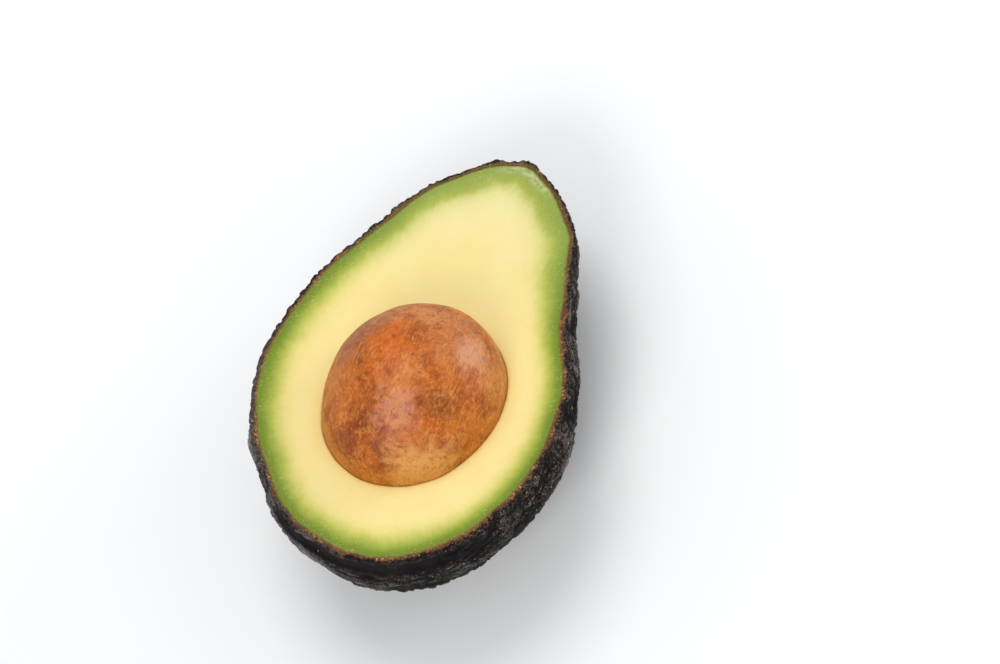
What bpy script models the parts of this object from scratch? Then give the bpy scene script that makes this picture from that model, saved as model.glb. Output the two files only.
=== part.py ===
"""Half of a pear-shaped avocado with its seed, lying on its back with the cut face up.

The fruit frame has the cut face at z = 0, with +Z out of the flesh and +Y from the blunt end to
the stem end. Its origin is midway between the two ends. The empty "fruit" carries that frame into
the part's own frame, whose origin is the middle of the flat spot that the half rests on.
"""

import math

import bmesh
import bpy
from mathutils import Matrix, Vector

# Driving dimensions, in metres
MM = 0.001
LENGTH = 101.6 * MM  # the flesh, from the blunt end to the stem end
PEEL = 1.3 * MM  # wall of the peel
GAP = 0.3 * MM  # between two pieces that touch
CUT_ABOVE_MIDDLE = 3.3 * MM  # the knife passed this far above the fruit's middle plane
DEPTH_SHARE = 0.99  # depth below the middle plane, as a share of the half-width
BELLY_REACH = 6 * MM  # depth under the cut at which the sides have swelled out fully

# The sides of the flesh at stations evenly spaced along the axis. The half-width at a station is
# its fullness times the half-width of a unit circle there, so an ellipse would have one fullness
# all along, and a pear has less of it towards the neck. Under the rim each side swells out further
# by its belly.
SIDES_MM = (
    # fullness left, fullness right, belly left, belly right
    (37.9, 34.6, 2.0, 1.0),  # the blunt end
    (36.2, 32.1, 1.4, 0.8),
    (37.1, 31.1, 0.9, 0.8),
    (36.9, 29.3, 0.6, 1.5),
    (34.8, 26.3, 0.3, 1.7),  # halfway
    (32.9, 22.4, 0.1, 1.6),
    (29.5, 22.0, 0.0, 0.2),
    (27.3, 21.9, 0.0, 0.0),
    (22.0, 17.5, 0.0, 0.0),  # the stem end
)

# The seed is an egg, a little longer than it is wide, with its blunter end towards the stem.
SEED_SEMI_AXES = (18.8 * MM, 21.7 * MM, 18.2 * MM)
SEED_CENTRE = (-1.7 * MM, -12.9 * MM, -1.5 * MM)
SEED_TURN = math.radians(-4.6)
SEED_TAPER = 0.05

# How the half lies: tipped until its weight is over the flat spot
TIP_TO_STEM = math.radians(8)
ROLL_TO_RIGHT = math.radians(2)
FLAT_DEPTH = 1.1 * MM  # how far the flat spot cuts into the round outside

FRUIT_MESH = (52, 32)  # segments round the axis, rings along it
SEED_MESH = (40, 24)
FLAT_TOLERANCE = 0.001 * MM

PEEL_LOOK = ((0.035, 0.028, 0.026), 0.45)
FLESH_LOOK = ((0.86, 0.76, 0.36), 0.45)
SEED_LOOK = ((0.45, 0.17, 0.05), 0.35)


def clear_scene():
    for obj in list(bpy.data.objects):
        bpy.data.objects.remove(obj)


def new_collection(name):
    collection = bpy.data.collections.new(name)
    bpy.context.scene.collection.children.link(collection)
    return collection


def smooth_through(values, along):
    """A Catmull-Rom curve through values evenly spaced from -1 to 1, read at along."""
    last = len(values) - 1
    place = (min(max(along, -1.0), 1.0) + 1) / 2 * last
    i = min(int(place), last - 1)
    t = place - i
    p1, p2 = values[i], values[i + 1]
    p0 = values[i - 1] if i > 0 else 2 * p1 - p2
    p3 = values[i + 2] if i + 2 <= last else 2 * p2 - p1
    bend = 2 * p0 - 5 * p1 + 4 * p2 - p3 + (3 * (p1 - p2) + p3 - p0) * t
    return p1 + 0.5 * t * (p2 - p0 + t * bend)


def smooth_step(x):
    x = min(max(x, 0.0), 1.0)
    return x * x * (3 - 2 * x)


def fruit_point(unit, swell):
    """The fruit's surface, grown by swell, at a point of the unit sphere with its poles on Z."""
    left, right, belly_left, belly_right = (
        smooth_through(column, unit.z) * MM for column in zip(*SIDES_MM)
    )
    left += swell
    right += swell
    depth = DEPTH_SHARE * (left + right) / 2
    z = -CUT_ABOVE_MIDDLE - depth * unit.y
    under_rim = smooth_step(-z / BELLY_REACH)
    left += under_rim * belly_left
    right += under_rim * belly_right
    across = math.hypot(unit.x, unit.y)
    x = (right - left) / 2 * across + (right + left) / 2 * unit.x
    return Vector((x, (LENGTH / 2 + swell) * unit.z, z))


def unit_sphere(segments, rings):
    mesh = bmesh.new()
    bmesh.ops.create_uvsphere(mesh, u_segments=segments, v_segments=rings, radius=1.0)
    return mesh


def resting_tilt():
    return Matrix.Rotation(-TIP_TO_STEM, 3, "X") @ Matrix.Rotation(ROLL_TO_RIGHT, 3, "Y")


def floor_plane():
    """The direction up and the height of the floor along it, in the fruit frame."""
    up = resting_tilt().inverted() @ Vector((0, 0, 1))
    sphere = unit_sphere(*FRUIT_MESH)
    lowest = min(up.dot(fruit_point(vert.co, GAP + PEEL)) for vert in sphere.verts)
    sphere.free()
    return up, lowest + FLAT_DEPTH


def slice_off(mesh, point, normal):
    """Cuts away what lies beyond the plane and closes the cut with one flat face."""
    everything = mesh.verts[:] + mesh.edges[:] + mesh.faces[:]
    cut = bmesh.ops.bisect_plane(
        mesh, geom=everything, plane_co=point, plane_no=normal, clear_outer=True
    )
    edges = [item for item in cut["geom_cut"] if isinstance(item, bmesh.types.BMEdge)]
    bmesh.ops.holes_fill(mesh, edges=edges)


def fruit_body(swell, cut_open):
    """The fruit grown by swell, flattened where it rests, and cut at z = 0 if cut_open."""
    mesh = unit_sphere(*FRUIT_MESH)
    for vert in mesh.verts:
        vert.co = fruit_point(vert.co, swell)
    up, height = floor_plane()
    slice_off(mesh, up * (height + GAP + PEEL - swell), -up)
    if cut_open:
        slice_off(mesh, Vector((0, 0, 0)), Vector((0, 0, 1)))
    return mesh


def seed_body(swell):
    """The egg of the seed, grown by swell, in place in the fruit frame."""
    mesh = unit_sphere(*SEED_MESH)
    turn = Matrix.Rotation(SEED_TURN, 3, "Z")
    semi_x, semi_y, semi_z = (semi_axis + swell for semi_axis in SEED_SEMI_AXES)
    for vert in mesh.verts:
        wider = 1 + SEED_TAPER * vert.co.z
        egg = Vector((
            semi_x * vert.co.x * wider,
            semi_y * vert.co.z,
            -semi_z * vert.co.y * wider,
        ))
        vert.co = turn @ egg + Vector(SEED_CENTRE)
    return mesh


def make_material(name, colour, roughness):
    material = bpy.data.materials.new(name)
    material.use_nodes = True
    shader = material.node_tree.nodes["Principled BSDF"]
    shader.inputs["Base Color"].default_value = (*colour, 1.0)
    shader.inputs["Roughness"].default_value = roughness
    shader.inputs["Metallic"].default_value = 0.0
    return material


def mesh_object(name, mesh, collection):
    bmesh.ops.recalc_face_normals(mesh, faces=mesh.faces)
    data = bpy.data.meshes.new(name)
    mesh.to_mesh(data)
    mesh.free()
    data.shade_smooth()
    data.set_sharp_from_angle(angle=math.radians(40))
    obj = bpy.data.objects.new(name, data)
    collection.objects.link(obj)
    return obj


def piece(name, mesh, collection, look):
    obj = mesh_object(name, mesh, collection)
    obj.data.materials.append(make_material(name, *look))
    return obj


def cut_away(obj, cutter):
    cutter.hide_render = True
    cutter.display_type = "WIRE"
    modifier = obj.modifiers.new(cutter.name, "BOOLEAN")
    modifier.operation = "DIFFERENCE"
    modifier.object = cutter


def make_peel(parts, cutters):
    """A bowl: the outside of the fruit less everything that the peel holds."""
    peel = piece("peel", fruit_body(GAP + PEEL, True), parts, PEEL_LOOK)
    cut_away(peel, mesh_object("inside_of_peel", fruit_body(GAP, False), cutters))


def make_flesh(parts, cutters):
    """The pulp, with the socket that the seed sits in."""
    flesh = piece("flesh", fruit_body(0.0, True), parts, FLESH_LOOK)
    cut_away(flesh, mesh_object("seed_socket", seed_body(GAP), cutters))


def flat_spot_centre():
    """The middle of the flat spot, in the fruit frame."""
    up, height = floor_plane()
    mesh = fruit_body(GAP + PEEL, False)
    flat = max(mesh.faces, key=lambda face: len(face.verts))
    assert all(abs(up.dot(vert.co) - height) < FLAT_TOLERANCE for vert in flat.verts)
    centre = flat.calc_center_median_weighted()
    mesh.free()
    return centre


def lay_down(collections):
    """Hangs everything on an empty that tips the fruit and sets its flat spot on z = 0."""
    fruit = bpy.data.objects.new("fruit", None)
    bpy.context.scene.collection.objects.link(fruit)
    fruit.matrix_world = resting_tilt().to_4x4() @ Matrix.Translation(-flat_spot_centre())
    for collection in collections:
        for obj in collection.objects:
            obj.parent = fruit


def main():
    clear_scene()
    parts = new_collection("avocado_half")
    cutters = new_collection("cutters")
    cutters.hide_render = True
    make_peel(parts, cutters)
    make_flesh(parts, cutters)
    piece("seed", seed_body(0.0), parts, SEED_LOOK)
    lay_down((parts, cutters))


main()
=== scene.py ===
"""The looks of the halved avocado: pebbled peel, cut flesh and seed, built around the CAD model.

Shapes are made in the fruit frame, in millimetres: the cut face at z = 0, +Z out of the flesh and
+Y from the blunt end to the stem end, as in the CAD model. They are then tipped and set down where
the CAD model lies, in metres.
"""

import math

import bpy
import numpy as np
from mathutils import Matrix, Vector, kdtree, noise

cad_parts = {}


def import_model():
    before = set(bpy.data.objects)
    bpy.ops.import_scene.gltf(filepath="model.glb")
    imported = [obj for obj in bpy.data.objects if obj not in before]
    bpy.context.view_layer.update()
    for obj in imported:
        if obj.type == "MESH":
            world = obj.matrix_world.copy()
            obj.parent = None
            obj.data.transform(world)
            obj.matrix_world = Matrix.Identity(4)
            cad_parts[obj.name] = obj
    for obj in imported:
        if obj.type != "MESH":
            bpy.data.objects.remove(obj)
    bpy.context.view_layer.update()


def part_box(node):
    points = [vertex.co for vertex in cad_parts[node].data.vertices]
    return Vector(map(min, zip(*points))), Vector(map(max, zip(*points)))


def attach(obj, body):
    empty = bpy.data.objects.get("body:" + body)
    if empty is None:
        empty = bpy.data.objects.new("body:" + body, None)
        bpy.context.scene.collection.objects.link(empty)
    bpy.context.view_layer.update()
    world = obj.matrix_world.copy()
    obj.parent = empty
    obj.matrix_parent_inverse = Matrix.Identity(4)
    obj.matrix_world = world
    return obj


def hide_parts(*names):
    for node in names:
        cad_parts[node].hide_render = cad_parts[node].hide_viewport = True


MM = 0.001

# The fruit, as in the CAD model, in millimetres
LENGTH = 101.6
PEEL_INSIDE = 0.3
PEEL_OUTSIDE = 1.6
CUT_ABOVE_MIDDLE = 3.3
DEPTH_SHARE = 0.99
BELLY_REACH = 6.0
SIDES = np.array((
    # fullness left, fullness right, belly left, belly right
    (37.9, 34.6, 2.0, 1.0),  # the blunt end
    (36.2, 32.1, 1.4, 0.8),
    (37.1, 31.1, 0.9, 0.8),
    (36.9, 29.3, 0.6, 1.5),
    (34.8, 26.3, 0.3, 1.7),  # halfway
    (32.9, 22.4, 0.1, 1.6),
    (29.5, 22.0, 0.0, 0.2),
    (27.3, 21.9, 0.0, 0.0),
    (22.0, 17.5, 0.0, 0.0),  # the stem end
))
SEED_SEMI_AXES = np.array((18.8, 21.7, 18.2))
SEED_CENTRE = np.array((-1.7, -12.9, -1.5))
SEED_TURN = math.radians(-4.6)
SEED_TAPER = 0.05
TIP_TO_STEM = math.radians(8)
ROLL_TO_RIGHT = math.radians(2)

# Mesh density: columns round the cut face, rows along each stretch of a section
COLUMNS = 960
SKIN_ROWS = 190
BAND_ROWS = 8
HIDDEN_ROWS = 14
FACE_ROWS = 120
SEED_ROWS, SEED_COLUMNS = ((230, 380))

# How the pieces meet, in millimetres
OVERLAP = 0.15  # of the peel into the flesh
SOCKET_GAP = 0.02  # between the seed and its socket

# How far the edges lie under the cut face, which rounds them off, in millimetres
OUTER_EDGE_DROP = 0.10  # of the peel
INNER_EDGE_DROP = 0.06
WALL_EDGE_DROP = 0.18  # of the flesh, at the peel
SOCKET_EDGE_DROP = 0.25  # of the flesh, at the seed

# In millimetres too
INSIDE = np.array((0, 0, -12.0))  # a point well inside the fruit
RIM_RADIUS = 42  # of the circle on which the noise along the rim is read
WAVE_FADE = 5.0  # the depth over which the rim's waves die away under the cut
FAR = 20  # a distance from rim or seed at which neither has any effect

# How the camera sees the cut face. Directions are in the picture, anticlockwise from its right.
FACE_LEAN = math.radians(36)  # between the face's normal and the line of sight
NORMAL_TOWARDS = math.radians(105.4)  # the way that the normal leans
STEM_TOWARDS = math.radians(70)  # the way to the stem end, measured along the face
CAMERA_DISTANCE = 665.0
MIDDLE_OFF_SIGHT = (4.61, 6.89)  # of the face's middle, to the right and up along the face, in mm
SWING_RIGHT = math.radians(1.4235)  # of the camera, which moves the fruit left in the picture
SWING_UP = math.radians(0.8542)
LENS_MM = 115.9
SENSOR_MM = 36.0
CLIP_START = 0.05

# Round lights, placed from the target along the camera's own axes: right, up and towards it
LIGHT_TARGET = (0, 0, 0.035)
SOFTBOXES = (
    # name, place and diameter in metres, power in watts
    ("key", (-0.32, 0.85, 0.75), 0.7, 4.6),
    ("front", (-0.32, -0.36, 0.88), 0.42, 3.0),
    ("side", (0.80, 0.58, 0.10), 0.5, 2.6),
)
SKY_COLOUR = (0.965, 0.98, 1.0, 1)
SKY_STRENGTH = 0.60
FLOOR_COLOUR = (0.94, 0.94, 0.94, 1)
FLOOR_REACH = 4.0


def lerp(a, b, share):
    """The value a given share of the way from a to b."""
    return a + (b - a) * share


def smooth_step(x, low=0.0, high=1.0):
    """0 below low and 1 above high, with a smooth rise between them."""
    x = np.clip((x - low) / (high - low), 0.0, 1.0)
    return x * x * (3 - 2 * x)


# ---------------------------------------------------------------- the fruit's smooth shape


def side_values(along):
    """The columns of SIDES at along, from -1 to 1, on Catmull-Rom curves."""
    last = len(SIDES) - 1
    place = (np.clip(along, -1, 1) + 1) / 2 * last
    i = np.minimum(place.astype(int), last - 1)
    t = (place - i)[..., None]
    ends = np.vstack((2 * SIDES[0] - SIDES[1], SIDES, 2 * SIDES[-1] - SIDES[-2]))
    p0, p1, p2, p3 = (ends[i + k] for k in range(4))
    bend = 2 * p0 - 5 * p1 + 4 * p2 - p3 + (3 * (p1 - p2) + p3 - p0) * t
    return np.moveaxis(p1 + 0.5 * t * (p2 - p0 + t * bend), -1, 0)


def fruit_surface(unit, swell):
    """The fruit's surface, grown by swell, at points of the unit sphere with its poles on Z."""
    left, right, belly_left, belly_right = side_values(unit[..., 2])
    left = left + swell
    right = right + swell
    depth = DEPTH_SHARE * (left + right) / 2
    z = -CUT_ABOVE_MIDDLE - depth * unit[..., 1]
    under_rim = smooth_step(-z, 0, BELLY_REACH)
    left = left + under_rim * belly_left
    right = right + under_rim * belly_right
    across = np.hypot(unit[..., 0], unit[..., 1])
    x = (right - left) / 2 * across + (right + left) / 2 * unit[..., 0]
    return np.stack((x, (LENGTH / 2 + swell) * unit[..., 2], z), -1)


def unit_at(turn, dip):
    """Points of the unit sphere: turn goes round the cut face, dip down from the middle plane."""
    return np.stack((
        np.cos(dip) * np.cos(turn), np.sin(dip), np.cos(dip) * np.sin(turn)
    ), -1)


def dip_at_cut(turn, swell):
    """The dip, a little above the middle plane, at which the surface meets the cut face."""
    dip = np.full_like(turn, -0.1)
    for _ in range(12):
        left, right, _, _ = side_values(np.cos(dip) * np.sin(turn))
        depth = DEPTH_SHARE * ((left + right) / 2 + swell)
        dip = -np.arcsin(CUT_ABOVE_MIDDLE / depth)
    return dip


def fruit_rows(turn, swell, shares):
    """Rows of the bowl under the cut face: share 0 is at the cut and share 1 at the very bottom."""
    top = dip_at_cut(turn, swell)
    dip = lerp(top[None, :], math.pi / 2, shares[:, None])
    return fruit_surface(unit_at(turn[None, :] + 0 * dip, dip), swell)


def seed_place(egg):
    """Carries points of the egg, centred on its own middle, into the fruit frame."""
    cos, sin = math.cos(SEED_TURN), math.sin(SEED_TURN)
    x = cos * egg[..., 0] - sin * egg[..., 1]
    y = sin * egg[..., 0] + cos * egg[..., 1]
    return np.stack((x, y, egg[..., 2]), -1) + SEED_CENTRE


def egg_surface(unit):
    """The smooth egg of the seed, at points of the unit sphere with its ends on Y."""
    wider = 1 + SEED_TAPER * unit[..., 1]
    semi_x, semi_y, semi_z = SEED_SEMI_AXES
    return seed_place(np.stack((
        semi_x * unit[..., 0] * wider, semi_y * unit[..., 1], semi_z * unit[..., 2] * wider
    ), -1))


def socket_units(turn, shares):
    """Points of the unit sphere down the seed's side: share 0 is at the cut face, 1 the bottom."""
    rise = np.full_like(turn, 0.1)
    for _ in range(12):
        wider = 1 + SEED_TAPER * np.cos(rise) * np.sin(turn)
        rise = np.arcsin(-SEED_CENTRE[2] / (SEED_SEMI_AXES[2] * wider))
    dip = lerp(rise[None, :], -math.pi / 2, shares[:, None])
    round_turn = turn[None, :] + 0 * dip
    return np.stack((
        np.cos(dip) * np.cos(round_turn), np.cos(dip) * np.sin(round_turn), np.sin(dip)
    ), -1)


# ---------------------------------------------------------------- noise on points in millimetres


def noise_at(points, size, seed):
    """Smooth noise from -1 to 1 whose features are about size across."""
    places = (points.reshape(-1, 3) / size + seed).tolist()
    values = np.fromiter((noise.noise(place) for place in places), float, len(places))
    return values.reshape(points.shape[:-1])


def cells_at(points, size, seed):
    """Distances to the nearest and second nearest of scattered centres about size apart."""
    places = (points.reshape(-1, 3) / size + seed).tolist()
    nearest = np.array([noise.voronoi(place)[0][:2] for place in places])
    return np.moveaxis(nearest.reshape(*points.shape[:-1], 2), -1, 0)


def rim_angles():
    """The angle round the cut face of each column of points."""
    return np.linspace(0, 2 * math.pi, COLUMNS, endpoint=False)


def rim_circle(turn):
    """A circle about as large as the rim, at the angles turn."""
    return np.stack((np.cos(turn), np.sin(turn), 0 * turn), -1) * RIM_RADIUS


def rim_wave(turn):
    """How far the rim strays outwards, in millimetres, round the cut face."""
    circle = rim_circle(turn)
    coarse = 0.40 * noise_at(circle, 9.0, 3.1) + 0.26 * noise_at(circle, 4.2, 7.7)
    return coarse + 0.13 * noise_at(circle, 1.3, 2.9) + 0.06 * noise_at(circle, 0.6, 6.1)


def sideways(normals, wave):
    """The rim's waves as moves outwards in the plane of the cut face."""
    level = normals * (1, 1, 0)
    return level / np.linalg.norm(level, axis=-1, keepdims=True) * wave[:, None]


def fade_under_cut(z):
    """1 at the cut face, falling off towards 0 below it."""
    return np.exp(z / WAVE_FADE)


# ---------------------------------------------------------------- meshes


def outward_normals(rows, inside):
    """Unit normals of a grid that is closed along its columns, pointing away from inside."""
    along = np.roll(rows, -1, 1) - np.roll(rows, 1, 1)
    down = np.gradient(rows, axis=0)
    normals = np.cross(along, down)
    lengths = np.linalg.norm(normals, axis=-1, keepdims=True)
    normals = normals / np.maximum(lengths, 1e-9)
    middle = rows.shape[0] // 2
    facing = np.sum(normals[middle] * (rows[middle] - inside), -1).mean()
    return normals if facing > 0 else -normals


def fruit_to_world():
    """From the fruit frame, in metres, to where the CAD model lies. The seed's box sets the place.

    The seed is the one node whose shape doesn't depend on the cut or on the flat spot.
    """
    tilt = Matrix.Rotation(-TIP_TO_STEM, 4, "X") @ Matrix.Rotation(ROLL_TO_RIGHT, 4, "Y")
    turn, dip = np.meshgrid(
        np.linspace(0, 2 * math.pi, 181), np.linspace(-math.pi / 2, math.pi / 2, 91)
    )
    egg = egg_surface(unit_at(turn, dip)[..., (0, 2, 1)]).reshape(-1, 3) * MM
    tipped = egg @ np.array(tilt.to_3x3()).T
    low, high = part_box("seed")
    there = (low + high) / 2
    here = Vector((tipped.min(0) + tipped.max(0)) / 2)
    return Matrix.Translation(there - here) @ tilt


def closed_mesh(name, rows, to_world, attributes, lowest=None):
    """A closed skin over rows of points, with one point more at each end, where the CAD model lies.

    The rows are in the fruit frame, in millimetres. No point goes under the height lowest.
    """
    count, columns, _ = rows.shape
    ends = np.stack((rows[0].mean(0), rows[-1].mean(0)))
    points = np.vstack((rows.reshape(-1, 3), ends))
    rotation = np.array(to_world.to_3x3())
    places = points * MM @ rotation.T + np.array(to_world.translation)
    if lowest is not None:
        places[:, 2] = np.maximum(places[:, 2], lowest)
    here = np.arange(columns)
    after = np.roll(here, -1)
    starts = np.arange(count - 1)[:, None] * columns
    quads = np.stack((
        starts + here, starts + columns + here, starts + columns + after, starts + after
    ), -1).reshape(-1, 4)
    first, last = len(points) - 2, len(points) - 1
    base = (count - 1) * columns
    caps = [(first, a, b) for a, b in zip(here.tolist(), after.tolist())]
    caps += [(last, base + b, base + a) for a, b in zip(here.tolist(), after.tolist())]
    mesh = bpy.data.meshes.new(name)
    mesh.from_pydata(places.tolist(), [], quads.tolist() + caps)
    mesh.validate()
    attributes = {**attributes, "place_mm": rows}
    for key, values in attributes.items():
        add_attribute(mesh, key, values)
    mesh.shade_smooth()
    obj = bpy.data.objects.new(name, mesh)
    bpy.context.scene.collection.objects.link(obj)
    if signed_volume(mesh) < 0:
        mesh.flip_normals()
    return obj


def add_attribute(mesh, key, values):
    """Stores a number or a point for each vertex; the end points take their row's mean."""
    if values.ndim == 3:
        ends = np.stack((values[0].mean(0), values[-1].mean(0)))
        flat = np.vstack((values.reshape(-1, 3), ends))
        mesh.attributes.new(key, "FLOAT_VECTOR", "POINT").data.foreach_set("vector", flat.ravel())
        return
    flat = np.concatenate((values.ravel(), (values[0].mean(), values[-1].mean())))
    mesh.attributes.new(key, "FLOAT", "POINT").data.foreach_set("value", flat)


def signed_volume(mesh):
    """Six times the volume that the mesh encloses, below 0 if its faces look inwards."""
    corners = np.zeros(len(mesh.vertices) * 3)
    mesh.vertices.foreach_get("co", corners)
    corners = corners.reshape(-1, 3)
    mesh.calc_loop_triangles()
    triangles = np.zeros(len(mesh.loop_triangles) * 3, int)
    mesh.loop_triangles.foreach_get("vertices", triangles)
    a, b, c = (corners[triangles.reshape(-1, 3)[:, k]] for k in range(3))
    return float(np.sum(a * np.cross(b, c)))


def on_rows(rows, where, values):
    """A number for each point of the grid: values on the rows where, and 0 on the others."""
    numbers = np.zeros(rows.shape[:2])
    numbers[where] = values
    return numbers


def distance_to_loop(points, loop):
    """Distance of every point from a closed loop of points, seen from above."""
    tree = kdtree.KDTree(len(loop))
    for k, (x, y, _) in enumerate(loop.tolist()):
        tree.insert((x, y, 0), k)
    tree.balance()
    flat = points.reshape(-1, 3).tolist()
    values = np.fromiter((tree.find((x, y, 0))[2] for x, y, _ in flat), float, len(flat))
    return values.reshape(points.shape[:-1])


# ---------------------------------------------------------------- the peel

# The middles of two stretches of skin, in degrees round the cut face from +X
CALM_SIDE = 272
FOLDED_SIDE = 236

# The skin's relief: how large its features are and how far they stand out, in millimetres
PEBBLE_SIZE, PEBBLE_HEIGHT = 2.8, 0.54
GRAIN_SIZE, GRAIN_HEIGHT = 1.2, 0.12
WRINKLE_SIZE, WRINKLE_HEIGHT = 1.7, 0.12
BUMP_SIZE, BUMP_HEIGHT = 4.3, 0.34
LUMP_SIZE, LUMP_HEIGHT = 8.0, 0.50
FOLD_SPACING, FOLD_HEIGHT = 1.8, 0.38
GROOVE_DEPTH = 0.10
CALM_HOLLOW = 0.35
MEAN_RELIEF = 0.46  # taken off, so that the skin keeps the CAD model's size

# The scar of the stem, in millimetres
SCAR_X = -2.0
DIMPLE_RADIUS, DIMPLE_DEPTH = 3.4, 0.9
LIP_RADIUS, LIP_WIDTH, LIP_HEIGHT = 4.4, 1.1, 0.35
BUTTON_RADIUS, BUTTON_EDGE = 3.6, 1.2


def on_side(points, side, near, far):
    """1 within near degrees of a side of the fruit, fading to 0 at far degrees, raggedly."""
    away = np.degrees(np.abs(np.angle(
        (points[..., 0] + 1j * points[..., 1]) * np.exp(-1j * math.radians(side))
    )))
    return 1 - smooth_step(away + 14 * noise_at(points, 9.0, 61.0), near, far)


def calm_skin(points, depth):
    """1 on the smooth, hollow strip of skin under the rim of the blunt end, and 0 elsewhere."""
    return np.exp(-(((depth - 3.2) / 2.0) ** 4)) * on_side(points, CALM_SIDE, 14, 42)


def pebbles(points, depth, around, calm):
    """Height of the skin's pebbles, lumps and wrinkles over the smooth fruit, in millimetres.

    depth is how far below the cut face a point is, around is its angle round the rim, and
    calm says where the skin is smooth.
    """
    warp = np.stack([noise_at(points, 2.4, seed) for seed in (11.3, 23.9, 37.1)], -1)
    warped = points + 1.1 * warp
    nearest, second = cells_at(warped, PEBBLE_SIZE, 5.2)
    dome = np.clip(1 - (nearest / 0.85) ** 2, 0, 1)
    groove = smooth_step(second - nearest, 0.0, 0.30)
    size = 0.75 + 0.7 * noise_at(points, 6.5, 41.0)
    small, _ = cells_at(warped, GRAIN_SIZE, 8.8)
    grain = np.clip(1 - small, 0, 1)
    lumps = noise_at(points, LUMP_SIZE, 2.2)
    wrinkles = 1 - np.abs(noise_at(points, WRINKLE_SIZE, 15.6)) * 2.2
    bumps = noise_at(points, BUMP_SIZE, 27.4)

    # Folds run round the fruit, so they are read where a point's angle counts little
    level = depth / FOLD_SPACING + 0.9 * lumps
    folded = np.stack((4 * np.cos(around), 4 * np.sin(around), level), -1)
    folds = 1 - np.abs(noise_at(folded, 1.0, 3.3)) * 3.0
    folded_side = on_side(points, FOLDED_SIDE, 18, 48) * smooth_step(depth, 1.0, 3.0)
    fold_zone = smooth_step(depth, 2.5, 5.0) * smooth_step(24 - depth, 0, 10)
    fold_zone *= smooth_step(noise_at(points, 15.0, 71.0), -0.05, 0.30)
    fold_zone = np.maximum(fold_zone, 1.7 * folded_side * smooth_step(20 - depth, 0, 8))
    rough = (
        size * (PEBBLE_HEIGHT * dome * groove + GROOVE_DEPTH * groove)
        + GRAIN_HEIGHT * grain
        + WRINKLE_HEIGHT * wrinkles
    )
    return (
        (1 - 0.8 * calm) * (1 - 0.45 * folded_side) * rough
        + LUMP_HEIGHT * lumps
        + BUMP_HEIGHT * bumps
        + FOLD_HEIGHT * fold_zone * folds * (1 - calm)
        - CALM_HOLLOW * calm
        - MEAN_RELIEF
    )


def stem_scar(points):
    """The dimple and lip where the stem sat, at the end of the neck, and a mask of its button."""
    end = np.array((SCAR_X, LENGTH / 2 + PEEL_OUTSIDE, -CUT_ABOVE_MIDDLE))
    radius = np.linalg.norm((points - end) * (1, 0.35, 1), axis=-1)
    dimple = -DIMPLE_DEPTH * np.exp(-((radius / DIMPLE_RADIUS) ** 2))
    lip = LIP_HEIGHT * np.exp(-(((radius - LIP_RADIUS) / LIP_WIDTH) ** 2))
    return dimple + lip, smooth_step(BUTTON_RADIUS - radius, 0, BUTTON_EDGE)


def make_peel(to_world):
    """A bowl in one closed skin: up the outside, over the band of the cut and down the inside."""
    turn = rim_angles()
    wave = rim_wave(turn)

    smooth = fruit_rows(turn, PEEL_OUTSIDE, np.linspace(1, 0, SKIN_ROWS + 1)[1:])
    normals = outward_normals(smooth, INSIDE)
    depth = -smooth[..., 2]
    scar, scar_mask = stem_scar(smooth)
    calm = calm_skin(smooth, depth)
    relief = pebbles(smooth, depth, turn + 0 * depth, calm) + scar
    height = relief + wave * fade_under_cut(-depth)
    skin = smooth + normals * height[..., None]
    skin[-1, :, 2] = smooth[-1, :, 2]

    shift = sideways(normals[-1], wave)
    inner_edge = fruit_rows(turn, PEEL_INSIDE - OVERLAP, np.array((0.0,)))[0] + shift
    across = np.linspace(1, 0, BAND_ROWS + 2)[1:-1]
    band = lerp(inner_edge[None], skin[-1][None], across[:, None, None])
    crumbs = noise_at(band, 0.55, 4.4) + 0.8 * noise_at(band, 1.3, 9.4)
    arch = np.sin(math.pi * across)[:, None]
    bulge = 0.10 * arch - 0.05 * (1 - across)[:, None]
    band[..., 2] = bulge + 0.16 * crumbs * arch ** 0.5
    skin[-1, :, 2] -= OUTER_EDGE_DROP

    hidden = np.linspace(0, 1, HIDDEN_ROWS + 1)[:-1]
    inside = fruit_rows(turn, PEEL_INSIDE - OVERLAP, hidden)
    inside[..., :2] += shift[None, :, :2] * fade_under_cut(inside[..., 2:3])
    inside[0, :, 2] = -INNER_EDGE_DROP

    rows = np.concatenate((skin, band, inside))
    skin_rows = slice(len(skin))
    edge = on_rows(rows, skin_rows, 1 + depth)
    edge[len(skin):len(skin) + BAND_ROWS] = across[:, None]
    attributes = {
        "edge_mm": edge,  # 0 to 1 across the band of the cut, then 1 more than the depth
        "raised_mm": on_rows(rows, skin_rows, relief),
        "scar": on_rows(rows, skin_rows, scar_mask),
        "calm": on_rows(rows, skin_rows, calm),
    }
    peel = closed_mesh("pebbled_peel", rows, to_world, attributes, lowest=0.0)
    peel.data.materials.append(peel_material())
    return peel


# ---------------------------------------------------------------- the flesh

# How fast the green turns to yellow, going in from the rim: the direction on the cut face, in
# degrees round from +X, and the speed relative to the blunt end
RIPENING = (
    (0, 1.22), (30, 1.27), (60, 0.90), (90, 0.70), (120, 0.88), (150, 0.96), (180, 0.92),
    (210, 1.02), (240, 1.12), (270, 1.0), (300, 1.32), (330, 1.42),
)


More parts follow.
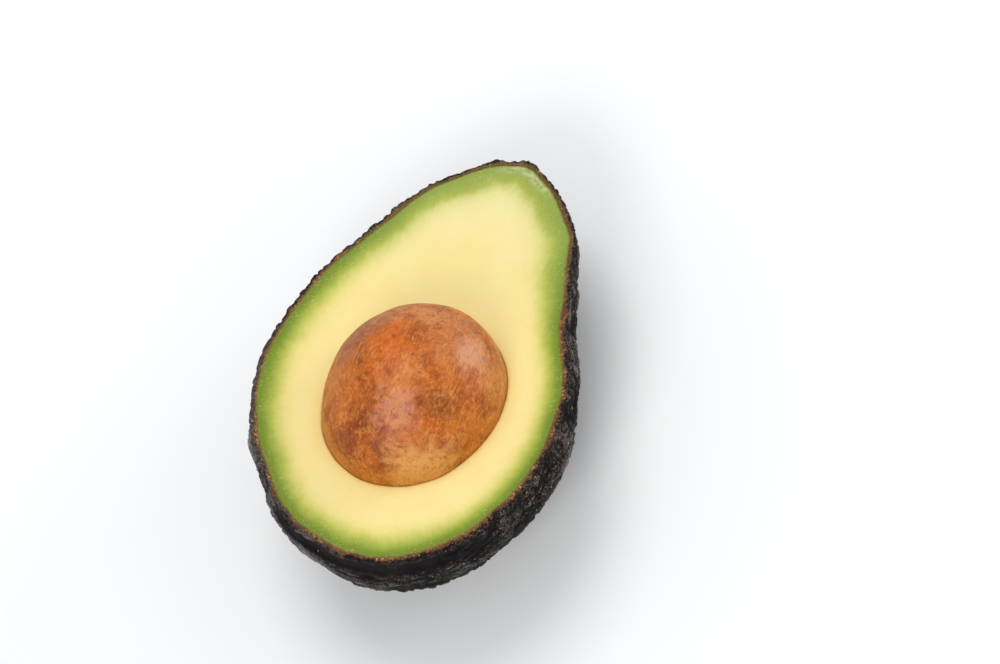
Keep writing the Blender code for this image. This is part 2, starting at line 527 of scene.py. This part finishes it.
def make_flesh(to_world):
    """The pulp in one closed skin: up the socket, out over the cut face and down the wall."""
    turn = rim_angles()
    wave = rim_wave(turn)
    wall = fruit_rows(turn, PEEL_INSIDE, np.linspace(0, 1, HIDDEN_ROWS + 1)[:-1])
    shift = sideways(outward_normals(wall, INSIDE)[0], wave)
    wall[..., :2] += shift[None, :, :2] * fade_under_cut(wall[..., 2:3])
    socket_unit = socket_units(turn, np.linspace(1, 0, HIDDEN_ROWS + 1)[1:])
    socket = seed_surface(socket_unit) + SOCKET_GAP * egg_normals(socket_unit)

    shares = np.linspace(0, 1, FACE_ROWS + 2)[1:-1]
    face = lerp(socket[-1][None], wall[0][None], shares[:, None, None])
    rim_mm = distance_to_loop(face, wall[0])
    seed_mm = distance_to_loop(face, socket[-1])
    # Nearly flat: a soft roll, the knife's marks, grain, and an edge that rounds off at both sides
    face[..., 2] = (
        0.16 * noise_at(face, 15.0, 6.0)
        + 0.05 * noise_at(face, 4.0, 2.0)
        + 0.018 * noise_at(face, 1.0, 12.0)
        - 0.16 * np.exp(-seed_mm / 0.3)
        - 0.10 * np.exp(-rim_mm / 0.4)
    )
    socket[-1, :, 2] = -SOCKET_EDGE_DROP
    wall[0, :, 2] = -WALL_EDGE_DROP

    rows = np.concatenate((socket, face, wall))
    face_rows = slice(len(socket), len(socket) + len(face))
    rim = on_rows(rows, face_rows, rim_mm)
    rim[:len(socket)] = FAR
    near_seed = on_rows(rows, face_rows, seed_mm)
    near_seed[face_rows.stop:] = FAR
    angles = np.degrees(np.arctan2(rows[..., 1], rows[..., 0]))
    attributes = {
        "rim_mm": rim,
        "ripe_mm": rim * np.interp(angles, *np.transpose(RIPENING), period=360),
        "seed_mm": near_seed,
        # Changes fast along the rim and slowly inwards from it
        "spoke_mm": rim_circle(turn)[None] + rim[..., None] * (0, 0, 0.35),
    }
    flesh = closed_mesh("cut_flesh", rows, to_world, attributes)
    flesh.data.materials.append(flesh_material())
    return flesh


# ---------------------------------------------------------------- the seed


def egg_normals(unit):
    """Directions straight out of the egg, near enough, at points of the unit sphere."""
    out = seed_place(unit / SEED_SEMI_AXES) - SEED_CENTRE
    return out / np.linalg.norm(out, axis=-1, keepdims=True)


def lumps_of_seed(points):
    """How far the seed's lumps stand off the egg, in millimetres, before they are centred."""
    return (
        0.50 * noise_at(points, 12.0, 3.6)
        + 0.14 * noise_at(points, 4.5, 5.9)
        + 0.05 * noise_at(points, 1.5, 8.1)
    )


def seed_surface(unit):
    """The seed's lumpy surface at points of the unit sphere."""
    turn, lean = np.meshgrid(
        np.linspace(0, 2 * math.pi, 80, endpoint=False), np.linspace(-1.5, 1.5, 40)
    )
    whole = unit_at(turn, lean)
    directions = np.dstack((egg_normals(whole), np.ones_like(turn))).reshape(-1, 4)
    lumps = lumps_of_seed(egg_surface(whole)).ravel()
    # What only shifts the egg or grows it is taken out, so that the seed stays where the CAD's is
    shift = np.linalg.lstsq(directions, lumps, rcond=None)[0]
    normals = egg_normals(unit)
    smooth = egg_surface(unit)
    height = lumps_of_seed(smooth) - normals @ shift[:3] - shift[3]
    return smooth + normals * height[..., None]


def make_seed(to_world):
    turn = np.linspace(0, 2 * math.pi, SEED_COLUMNS, endpoint=False)
    lean = np.linspace(-math.pi / 2, math.pi / 2, SEED_ROWS + 2)[1:-1]
    rows = seed_surface(unit_at(*np.meshgrid(turn, lean)))
    seed = closed_mesh("brown_seed", rows, to_world, {})
    seed.data.materials.append(seed_material())
    return seed


# ---------------------------------------------------------------- materials


def colour(red, green, blue):
    """A display colour, 0 to 255, as the linear colour that shaders take."""
    def linear(value):
        value /= 255
        return value / 12.92 if value <= 0.04045 else ((value + 0.055) / 1.055) ** 2.4
    return (linear(red), linear(green), linear(blue), 1.0)


class Shader:
    """One material's node tree. Each method adds nodes and returns the socket that comes out."""

    def __init__(self, name, roughness, specular):
        """roughness is its mean, for a viewer that shows no textures."""
        self.material = bpy.data.materials.new(name)
        self.material.use_nodes = True
        self.tree = self.material.node_tree
        self.surface = self.tree.nodes["Principled BSDF"]
        self.surface.inputs["Roughness"].default_value = roughness
        self.surface.inputs["Specular IOR Level"].default_value = specular
        self.place = self.node("Attribute", "Vector", attribute_name="place_mm")

    def node(self, kind, out, inputs=(), **settings):
        """A node of any kind. inputs are numbers or sockets, and settings its own attributes."""
        node = self.tree.nodes.new("ShaderNode" + kind)
        for key, value in settings.items():
            setattr(node, key, value)
        for key, value in dict(inputs).items():
            self.feed(node.inputs[key], value)
        return node.outputs[out]

    def feed(self, socket, value):
        if isinstance(value, bpy.types.NodeSocket):
            self.tree.links.new(value, socket)
        else:
            socket.default_value = value

    def attribute(self, name):
        return self.node("Attribute", "Fac", attribute_name=name)

    def along_axis(self, axis):
        """One coordinate of the place in the fruit, in millimetres."""
        return self.node("SeparateXYZ", axis, {"Vector": self.place})

    def stretched(self, scale, shift=(0, 0, 0), turn=0.0):
        """The place, for a texture: scaled, moved and turned about +Z."""
        return self.node("Mapping", "Vector", {
            "Vector": self.place, "Scale": scale, "Location": shift, "Rotation": (0, 0, turn),
        })

    def shifted(self, *shift):
        """The place, moved so that one texture differs from another of the same size."""
        return self.stretched((1, 1, 1), shift)

    def math(self, operation, a, b=0.0):
        return self.node("Math", "Value", {0: a, 1: b}, operation=operation)

    def times(self, first, *others):
        for other in others:
            first = self.math("MULTIPLY", first, other)
        return first

    def plus(self, first, *others):
        for other in others:
            first = self.math("ADD", first, other)
        return first

    def centred(self, value):
        """A value from 0 to 1 as one that swings about 0."""
        return self.math("SUBTRACT", value, 0.5)

    def between(self, value, low, high, to_low=0.0, to_high=1.0):
        """A smooth step: to_low at low and to_high at high. high may be below low."""
        return self.node("MapRange", "Result", {
            "Value": value, "From Min": low, "From Max": high,
            "To Min": to_low, "To Max": to_high,
        }, interpolation_type="SMOOTHSTEP")

    def noise(self, size_mm, detail, roughness=0.5, distortion=0.0, place=None):
        return self.node("TexNoise", "Fac", {
            "Vector": self.place if place is None else place, "Scale": 1 / size_mm,
            "Detail": detail, "Roughness": roughness, "Distortion": distortion,
        })

    def cells(self, size_mm):
        """The distance to the nearest of scattered points, in cells of about size_mm."""
        return self.node("TexVoronoi", "Distance", {"Vector": self.place, "Scale": 1 / size_mm})

    def contours(self, size_mm, width, place):
        """Thin lines that wander and branch: where noise passes through its middle value."""
        off = self.math("ABSOLUTE", self.centred(self.noise(size_mm, 1.5, 0.5, 0.35, place)))
        return self.between(off, width, 0.0)

    def mix(self, share, a, b, blend="MIX"):
        """A share of colour b over colour a."""
        node = self.tree.nodes.new("ShaderNodeMix")
        node.data_type = "RGBA"
        node.blend_type = blend
        for socket, value in zip((node.inputs[0], node.inputs[6], node.inputs[7]), (share, a, b)):
            self.feed(socket, value)
        return node.outputs[2]

    def ramp(self, value, stops):
        """Colours, given as display colours, at places along a value."""
        node = self.tree.nodes.new("ShaderNodeValToRGB")
        self.feed(node.inputs["Fac"], value)
        elements = node.color_ramp.elements
        while len(elements) < len(stops):
            elements.new(1.0)
        for element, (place, rgb) in zip(elements, stops):
            element.position = place
            element.color = colour(*rgb)
        return node.outputs["Color"]

    def patch(self, base, centre, reach, rgb, share, ragged):
        """Paints a ragged patch of another colour round a point of the fruit."""
        away = self.node(
            "VectorMath", "Value", {0: self.place, 1: centre}, operation="DISTANCE"
        )
        away = self.plus(away, self.times(ragged, reach * 2.2))
        inside = self.between(away, reach * 1.25, reach * 0.35)
        return self.mix(self.times(inside, share), base, colour(*rgb))

    def bump(self, height, distance_mm, strength, under=None):
        inputs = {"Height": height, "Distance": distance_mm * MM, "Strength": strength}
        if under is not None:
            inputs["Normal"] = under
        return self.node("Bump", "Normal", inputs)

    def finish(self, base, normal, roughness):
        self.feed(self.surface.inputs["Base Color"], base)
        self.feed(self.surface.inputs["Normal"], normal)
        self.feed(self.surface.inputs["Roughness"], roughness)
        return self.material


RIM_RAMP_MM = 14.0
RIM_COLOURS = (
    # millimetres in from the peel, display colour
    (0.0, (124, 122, 58)),
    (0.4, (116, 137, 32)),
    (1.0, (119, 142, 32)),
    (1.8, (134, 155, 43)),
    (2.5, (155, 171, 58)),
    (3.4, (178, 187, 76)),
    (4.4, (204, 203, 100)),
    (5.4, (224, 215, 122)),
    (6.5, (240, 225, 142)),
    (8.0, (249, 230, 153)),
    (10.0, (252, 232, 158)),
    (14.0, (252, 231, 156)),
)
FLESH_DULLING = (0.93, 0.93, 0.93, 1)  # darkens the whole face a little


def flesh_material():
    s = Shader("avocado_flesh", 0.42, 0.22)
    rim = s.attribute("rim_mm")
    ripe = s.attribute("ripe_mm")
    near_seed = s.attribute("seed_mm")
    up_neck = s.between(s.along_axis(1), 5.0, 50.0)

    # From green to yellow, over a distance from the rim that drifts, wavers and feathers
    drift = s.centred(s.noise(13.0, 2.0))
    waver = s.centred(s.noise(2.6, 4.0, 0.6))
    spoke = s.node("Attribute", "Vector", attribute_name="spoke_mm")
    feather = s.centred(s.noise(1.5, 4.0, 0.65, 0.3, spoke))
    inward = s.plus(
        ripe,
        s.times(drift, s.between(rim, 0, 4, 0.4, 2.6)),
        s.times(waver, s.between(rim, 0, 3, 0.5, 1.5)),
        s.times(feather, s.between(rim, 0, 3.5, 0.5, 1.3)),
    )
    base = s.ramp(
        s.math("DIVIDE", inward, RIM_RAMP_MM),
        [(place / RIM_RAMP_MM, rgb) for place, rgb in RIM_COLOURS],
    )
    green = s.times(s.between(ripe, 5.5, 1.5), s.between(rim, 0.0, 0.8))
    base = s.mix(s.times(up_neck, s.times(green, 0.55)), base, colour(176, 188, 98))
    wash = s.times(s.between(inward, 3.0, 5.5), s.between(inward, 17.0, 7.0))
    base = s.mix(s.times(up_neck, s.times(wash, 0.45)), base, colour(242, 238, 186))
    blotch = s.between(s.noise(7.0, 3.0), 0.35, 0.75)
    base = s.mix(s.times(blotch, 0.10), base, colour(246, 218, 140), "MULTIPLY")

    # Darker tan towards the seed, partly the flesh's own tan and partly painted shade, then a brown
    # line of painted contact shadow at the seed's edge
    tan = s.times(s.between(near_seed, 3.5, 0.0), 0.25)
    base = s.mix(tan, base, colour(246, 224, 170), "MULTIPLY")
    # painted contact shadow where the flesh meets the seed
    seed_contact_shadow = s.between(s.plus(near_seed, s.times(waver, 0.5)), 0.45, 0.0)
    base = s.mix(s.times(seed_contact_shadow, 0.55), base, colour(186, 128, 62))

    # Pale and dark fibres in the green; the pale ones, where it is wet, are partly painted wet
    # highlights
    fibres = s.noise(0.5, 3.0, 0.7, 0.6)
    wet_glint_place = s.between(s.noise(9.0, 2.0), 0.36, 0.62)
    pale_fibres_and_wet_glints = s.times(s.between(fibres, 0.55, 0.72), s.times(green, wet_glint_place, 0.65))
    base = s.mix(pale_fibres_and_wet_glints, base, colour(216, 222, 158))
    dark = s.times(s.between(fibres, 0.44, 0.28), s.times(green, 0.25))
    base = s.mix(dark, base, colour(104, 132, 36))

    # A pale streak along the right of the stem end
    near_stem = s.times(
        s.between(s.along_axis(1), 42.0, 47.0), s.between(s.along_axis(0), -6.0, 1.0)
    )
    streak = s.times(
        s.between(rim, 0.3, 0.9),
        s.between(rim, 2.9, 1.5),
        s.times(near_stem, 0.85),
        s.between(s.noise(1.6, 4.0, 0.65), 0.36, 0.56),
    )
    base = s.mix(streak, base, colour(206, 206, 160))

    # Crumbs of peel on the last half millimetre
    tatter = s.times(s.noise(1.0, 5.0, 0.7), 2.4)
    lip = s.between(s.math("SUBTRACT", tatter, rim), 0.75, 1.4)
    crumbs = s.ramp(s.noise(0.6, 3.0), (
        (0.38, (104, 82, 44)), (0.52, (150, 118, 70)), (0.66, (188, 160, 104)),
    ))
    base = s.mix(s.times(lip, 0.8), base, crumbs)
    base = s.mix(1.0, base, FLESH_DULLING, "MULTIPLY")

    normal = s.bump(s.noise(0.9, 5.0, 0.65), 0.08, 0.5)
    wet = s.bump(fibres, 0.16, s.times(green, 0.6), normal)
    rough = s.between(s.noise(1.6, 3.0), 0.3, 0.7, 0.36, 0.52)
    s.surface.inputs["Subsurface Weight"].default_value = 0.12
    s.surface.inputs["Subsurface Radius"].default_value = (1.0, 0.7, 0.25)
    s.surface.inputs["Subsurface Scale"].default_value = 1.5 * MM
    return s.finish(base, wet, rough)


SEED_PATCHES = (
    # centre in the fruit in millimetres, reach, display colour, share
    ((6, -4, 13), 9.0, (192, 112, 56), 0.75),  # mauve-brown shoulders
    ((-12, -7, 13), 7.0, (152, 80, 20), 0.8),
    ((-4, -11, 16), 7.5, (204, 98, 0), 0.9),  # orange
    ((6, -27, 9), 6.5, (188, 88, 0), 0.8),
    ((14, -20, 6), 5.0, (200, 110, 8), 0.7),
    ((-12, -16, 10), 6.0, (176, 92, 6), 0.6),
    ((-13, -21, 11), 5.0, (192, 100, 10), 0.6),
    ((-6, -27, 12), 4.5, (128, 54, 4), 0.8),  # dark brown
    ((9, -20, 12), 4.0, (138, 72, 22), 0.8),
    ((-9, -31, 7), 5.5, (136, 58, 12), 0.8),
    ((0, -7, 17), 3.0, (142, 66, 10), 0.7),
    ((8, -31, 3), 8.0, (234, 170, 92), 0.88),  # tan foot, lightened partly as painted bounce light from the flesh
    ((16, -8, 5), 6.0, (204, 134, 56), 0.6),
    # a lighter top: painted light from above
    ((0, -1, 14), 4.0, (214, 142, 72), 0.5),
    ((1, -24, 13), 5.2, (210, 140, 106), 0.75),  # pale bloom: a painted highlight where the front light reflects
    # a painted highlight where the side light reflects
    ((11, -6, 11), 4.5, (214, 150, 112), 0.65),
)


def seed_material():
    s = Shader("avocado_seed", 0.38, 0.30)
    cloud = s.noise(5.5, 6.0, 0.68, 0.6)
    base = s.ramp(cloud, (
        (0.36, (140, 62, 4)),
        (0.46, (174, 84, 10)),
        (0.54, (194, 100, 20)),
        (0.66, (208, 122, 42)),
    ))
    ragged = s.centred(s.noise(3.6, 6.0, 0.7, 0.6))
    for centre, reach, rgb, share in SEED_PATCHES:
        base = s.patch(base, centre, reach, rgb, share, ragged)
    # Painted bounce light: a golden tint low on the seed near the cut face, where light from the
    # yellow flesh falls on it
    flesh_bounce_tint = s.times(s.between(s.along_axis(2), 6.0, 1.0), 0.45)
    base = s.mix(flesh_bounce_tint, base, colour(194, 124, 36))

    mottle = s.noise(1.9, 7.0, 0.74, 0.8)
    light = s.times(s.between(mottle, 0.50, 0.68), 0.50)
    base = s.mix(light, base, colour(220, 140, 66))
    dark = s.times(s.between(mottle, 0.49, 0.35), 0.60)
    base = s.mix(dark, base, colour(118, 48, 4))

    # Fine brushed lines that cross at a small angle, and pale veins along them
    lengthwise = s.stretched((1.0, 0.22, 0.8), turn=0.25)
    leaning = s.stretched((1.0, 0.28, 0.8), (5, 3, 1), -0.35)
    brushed = s.noise(0.38, 4.0, 0.7, 0.5, lengthwise)
    crossed = s.noise(0.42, 4.0, 0.7, 0.5, leaning)
    brushed = s.times(s.plus(brushed, crossed), 0.5)
    light = s.times(s.between(brushed, 0.52, 0.64), 0.42)
    base = s.mix(light, base, colour(236, 170, 104))
    dark = s.times(s.between(brushed, 0.47, 0.36), 0.42)
    base = s.mix(dark, base, colour(104, 44, 4))
    veins = s.math(
        "MAXIMUM", s.contours(3.4, 0.016, lengthwise), s.contours(4.4, 0.013, leaning)
    )
    shown = s.between(s.noise(5.5, 2.0, 0.5, 0.0, s.shifted(4, 8, 6)), 0.42, 0.58)
    veins = s.times(veins, shown)
    base = s.mix(s.times(veins, 0.42), base, colour(230, 154, 78))

    # Dark pits on the foot, low at the blunt end
    foot = s.between(s.plus(s.along_axis(1), s.along_axis(2)), -12.0, -22.0)
    pits = s.times(s.between(s.noise(0.6, 2.0, 0.6), 0.61, 0.72), 0.4)
    base = s.mix(s.times(pits, foot), base, colour(120, 50, 8))

    normal = s.bump(s.noise(0.6, 5.0, 0.7), 0.10, 0.5)
    normal = s.bump(brushed, 0.08, 0.5, normal)
    normal = s.bump(veins, 0.12, 0.4, normal)
    rough = s.between(s.noise(1.3, 4.0), 0.3, 0.7, 0.34, 0.46)
    return s.finish(base, normal, rough)


def skin_colour(s, edge, crest):
    """The outside of the peel: near black, grey on the crests as painted satin highlights, with
    painted glints and dots.
    """
    skin = s.ramp(s.noise(9.0, 4.0, 0.6), (
        (0.30, (9, 7, 8)),
        (0.48, (15, 11, 12)),
        (0.60, (24, 18, 16)),
        (0.74, (32, 22, 20)),
    ))
    green_black = s.ramp(s.noise(6.0, 3.0, 0.6, 0.0, s.shifted(6, 2, 9)), (
        (0.40, (11, 13, 9)), (0.62, (30, 32, 19)),
    ))
    skin = s.mix(s.between(edge, 7.0, 20.0, 0.0, 0.65), skin, green_black)

    # Grey paint on the crests, most of all on the crusty right side near the rim: painted satin
    # highlights, with a grey crust as well on that side
    crusty_glinting_side = s.times(s.between(s.along_axis(0), -4.0, 18.0), s.between(edge, 18.0, 7.0))
    crest_sheen_share = s.noise(7.0, 3.0, 0.6, 0.0, s.shifted(2, 7, 4))
    crest_sheen_share = s.between(crest_sheen_share, 0.38, 0.62, 0.12, 0.55)
    crest_sheen_share = s.math("MINIMUM", s.plus(crest_sheen_share, s.times(crusty_glinting_side, 0.45)), 1.0)
    lively = s.between(s.attribute("calm"), 0.0, 1.0, 1.0, 0.3)
    top = s.times(s.between(crest, 0.05, 0.75), s.times(crest_sheen_share, lively))
    crest_sheen_grey = s.ramp(s.noise(2.2, 5.0, 0.7), (
        (0.36, (56, 50, 54)),
        (0.50, (98, 86, 84)),
        (0.62, (146, 126, 112)),
    ))
    # painted satin highlights on the crests
    skin = s.mix(top, skin, crest_sheen_grey)

    # A painted satin sheen on the left side near the rim of the blunt end, where light falls on the
    # ridges
    painted_satin_sheen = s.times(
        s.between(s.along_axis(0), 4.0, -12.0),
        s.between(edge, 18.0, 7.0),
        s.between(s.along_axis(1), 8.0, -18.0),
        s.between(crest, -0.45, 0.45),
    )
    skin = s.mix(s.times(painted_satin_sheen, 0.75), skin, colour(104, 98, 101))

    near_rim = s.between(edge, 22.0, 8.0, 0.08, 0.4)
    glints = s.times(
        s.between(s.noise(0.34, 3.0, 0.6), 0.56, 0.66),
        lively,
        s.between(crest, -0.45, 0.15),
        s.math("MAXIMUM", near_rim, s.times(crusty_glinting_side, 0.7)),
    )
    skin = s.mix(glints, skin, colour(186, 156, 130))
    dots = s.between(s.cells(2.4), 0.13, 0.07)
    some = s.between(s.noise(4.0, 1.0), 0.46, 0.56)
    skin = s.mix(s.times(dots, some), skin, colour(146, 140, 70))
    rust = s.times(s.between(s.noise(2.0, 5.0, 0.7), 0.56, 0.66), 0.6)
    rust = s.times(rust, s.between(edge, 7.0, 1.2))
    skin = s.mix(rust, skin, colour(86, 52, 38))
    button = s.ramp(s.noise(1.2, 4.0), ((0.35, (58, 40, 28)), (0.65, (122, 92, 62))))
    return s.mix(s.attribute("scar"), skin, button)


def band_colour(s, edge, crumb):
    """The brown band of the peel in the cut face, olive at its inner edge and up the neck."""
    band = s.ramp(crumb, (
        (0.38, (40, 26, 16)),
        (0.47, (92, 62, 34)),
        (0.54, (144, 104, 60)),
        (0.63, (206, 172, 122)),
    ))
    ruddy = s.between(s.noise(5.0, 3.0, 0.6, 0.0, s.shifted(9, 1, 3)), 0.48, 0.62)
    band = s.mix(s.times(ruddy, 0.45), band, colour(140, 78, 38))
    murky = s.between(s.noise(3.4, 4.0, 0.6, 0.0, s.shifted(3, 5, 8)), 0.44, 0.60)
    band = s.mix(s.times(murky, 0.7), band, colour(70, 52, 36))
    inner = s.between(s.plus(edge, s.times(crumb, 0.7)), 0.75, 0.35)
    band = s.mix(s.times(inner, 0.7), band, colour(132, 116, 62))
    up_neck = s.between(s.along_axis(1), 10.0, 40.0)
    return s.mix(s.times(up_neck, 0.6), band, colour(92, 76, 46))


def peel_material():
    s = Shader("avocado_peel", 0.42, 0.13)
    edge = s.attribute("edge_mm")
    grit = s.noise(0.8, 5.0, 0.72)
    crest = s.plus(s.attribute("raised_mm"), s.times(s.centred(grit), 1.6))
    crumb = s.noise(0.6, 5.0, 0.75)

    # The skin laps over the band by a width that wanders, and by more on the left
    left = s.between(s.along_axis(0), 6.0, -26.0, 0.0, 0.22)
    width = s.between(s.noise(4.0, 4.0, 0.65), 0.35, 0.65, -0.25, 0.35)
    over = s.plus(edge, s.times(s.centred(crumb), 1.6), s.plus(left, width))
    base = s.mix(
        s.between(over, 0.62, 0.95), band_colour(s, edge, crumb), skin_colour(s, edge, crest)
    )

    normal = s.bump(s.noise(0.45, 4.0, 0.65), 0.16, 0.7)
    normal = s.bump(s.noise(1.3, 3.0, 0.6, 0.8, s.stretched((1, 1, 1.6))), 0.30, 0.7, normal)
    rough = s.between(crest, -0.5, 0.5, 0.78, 0.24)
    return s.finish(base, normal, rough)


def floor_material():
    material = bpy.data.materials.new("floor")
    material.use_nodes = True
    surface = material.node_tree.nodes["Principled BSDF"]
    surface.inputs["Base Color"].default_value = FLOOR_COLOUR
    surface.inputs["Roughness"].default_value = 0.85
    surface.inputs["Specular IOR Level"].default_value = 0.1
    return material


# ---------------------------------------------------------------- stage, camera and lights


def make_floor():
    mesh = bpy.data.meshes.new("floor")
    signs = ((-1, -1), (1, -1), (1, 1), (-1, 1))
    corners = [(x * FLOOR_REACH, y * FLOOR_REACH, 0) for x, y in signs]
    mesh.from_pydata(corners, [], [(0, 1, 2, 3)])
    mesh.materials.append(floor_material())
    floor = bpy.data.objects.new("floor", mesh)
    bpy.context.scene.collection.objects.link(floor)


def make_camera(to_world):
    """Sets the camera so that it sees the cut face as given above, and then swings it a little.

    The vectors are in the axes that the camera has before that swing, in millimetres.
    """
    normal = Vector((
        math.sin(FACE_LEAN) * math.cos(NORMAL_TOWARDS),
        math.sin(FACE_LEAN) * math.sin(NORMAL_TOWARDS),
        math.cos(FACE_LEAN),
    ))
    right = (Vector((1, 0, 0)) - normal.x * normal).normalized()
    up = normal.cross(right)
    fruit_y = math.cos(STEM_TOWARDS) * right + math.sin(STEM_TOWARDS) * up
    fruit_x = math.sin(STEM_TOWARDS) * right - math.cos(STEM_TOWARDS) * up
    to_fruit = Matrix((fruit_x, fruit_y, normal))
    off_right, off_up = MIDDLE_OFF_SIGHT
    middle = Vector((0, 0, -CAMERA_DISTANCE)) + off_right * right + off_up * up
    eye = -(to_fruit @ middle) * MM
    aim = Vector((math.tan(SWING_RIGHT), math.tan(SWING_UP), -1)).normalized()
    swing = Vector((0, 0, -1)).rotation_difference(aim).to_matrix()

    data = bpy.data.cameras.new("camera")
    data.lens = LENS_MM
    data.sensor_width = SENSOR_MM
    data.clip_start = CLIP_START
    camera = bpy.data.objects.new("camera", data)
    bpy.context.scene.collection.objects.link(camera)
    camera.matrix_world = to_world @ (Matrix.Translation(eye) @ (to_fruit @ swing).to_4x4())
    bpy.context.scene.camera = camera
    return camera


def add_softbox(camera, name, place, diameter, power):
    """A round area light that faces the target."""
    data = bpy.data.lights.new(name, "AREA")
    data.shape = "DISK"
    data.size = diameter
    data.energy = power
    light = bpy.data.objects.new(name, data)
    bpy.context.scene.collection.objects.link(light)
    target = Vector(LIGHT_TARGET)
    light.location = target + camera.matrix_world.to_3x3().normalized() @ Vector(place)
    light.rotation_euler = (target - light.location).to_track_quat("-Z", "Y").to_euler()


def light_stage(camera):
    world = bpy.data.worlds.new("studio")
    world.use_nodes = True
    background = world.node_tree.nodes["Background"]
    background.inputs["Color"].default_value = SKY_COLOUR
    background.inputs["Strength"].default_value = SKY_STRENGTH
    bpy.context.scene.world = world
    for softbox in SOFTBOXES:
        add_softbox(camera, *softbox)


def main():
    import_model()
    to_world = fruit_to_world()
    pieces = (
        (make_peel(to_world), "peel"),
        (make_flesh(to_world), "flesh"),
        (make_seed(to_world), "seed"),
    )
    for piece, node in pieces:
        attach(piece, "root")
        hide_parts(node)
    make_floor()
    camera = make_camera(to_world)
    light_stage(camera)
    bpy.context.scene.view_settings.view_transform = "Standard"


main()
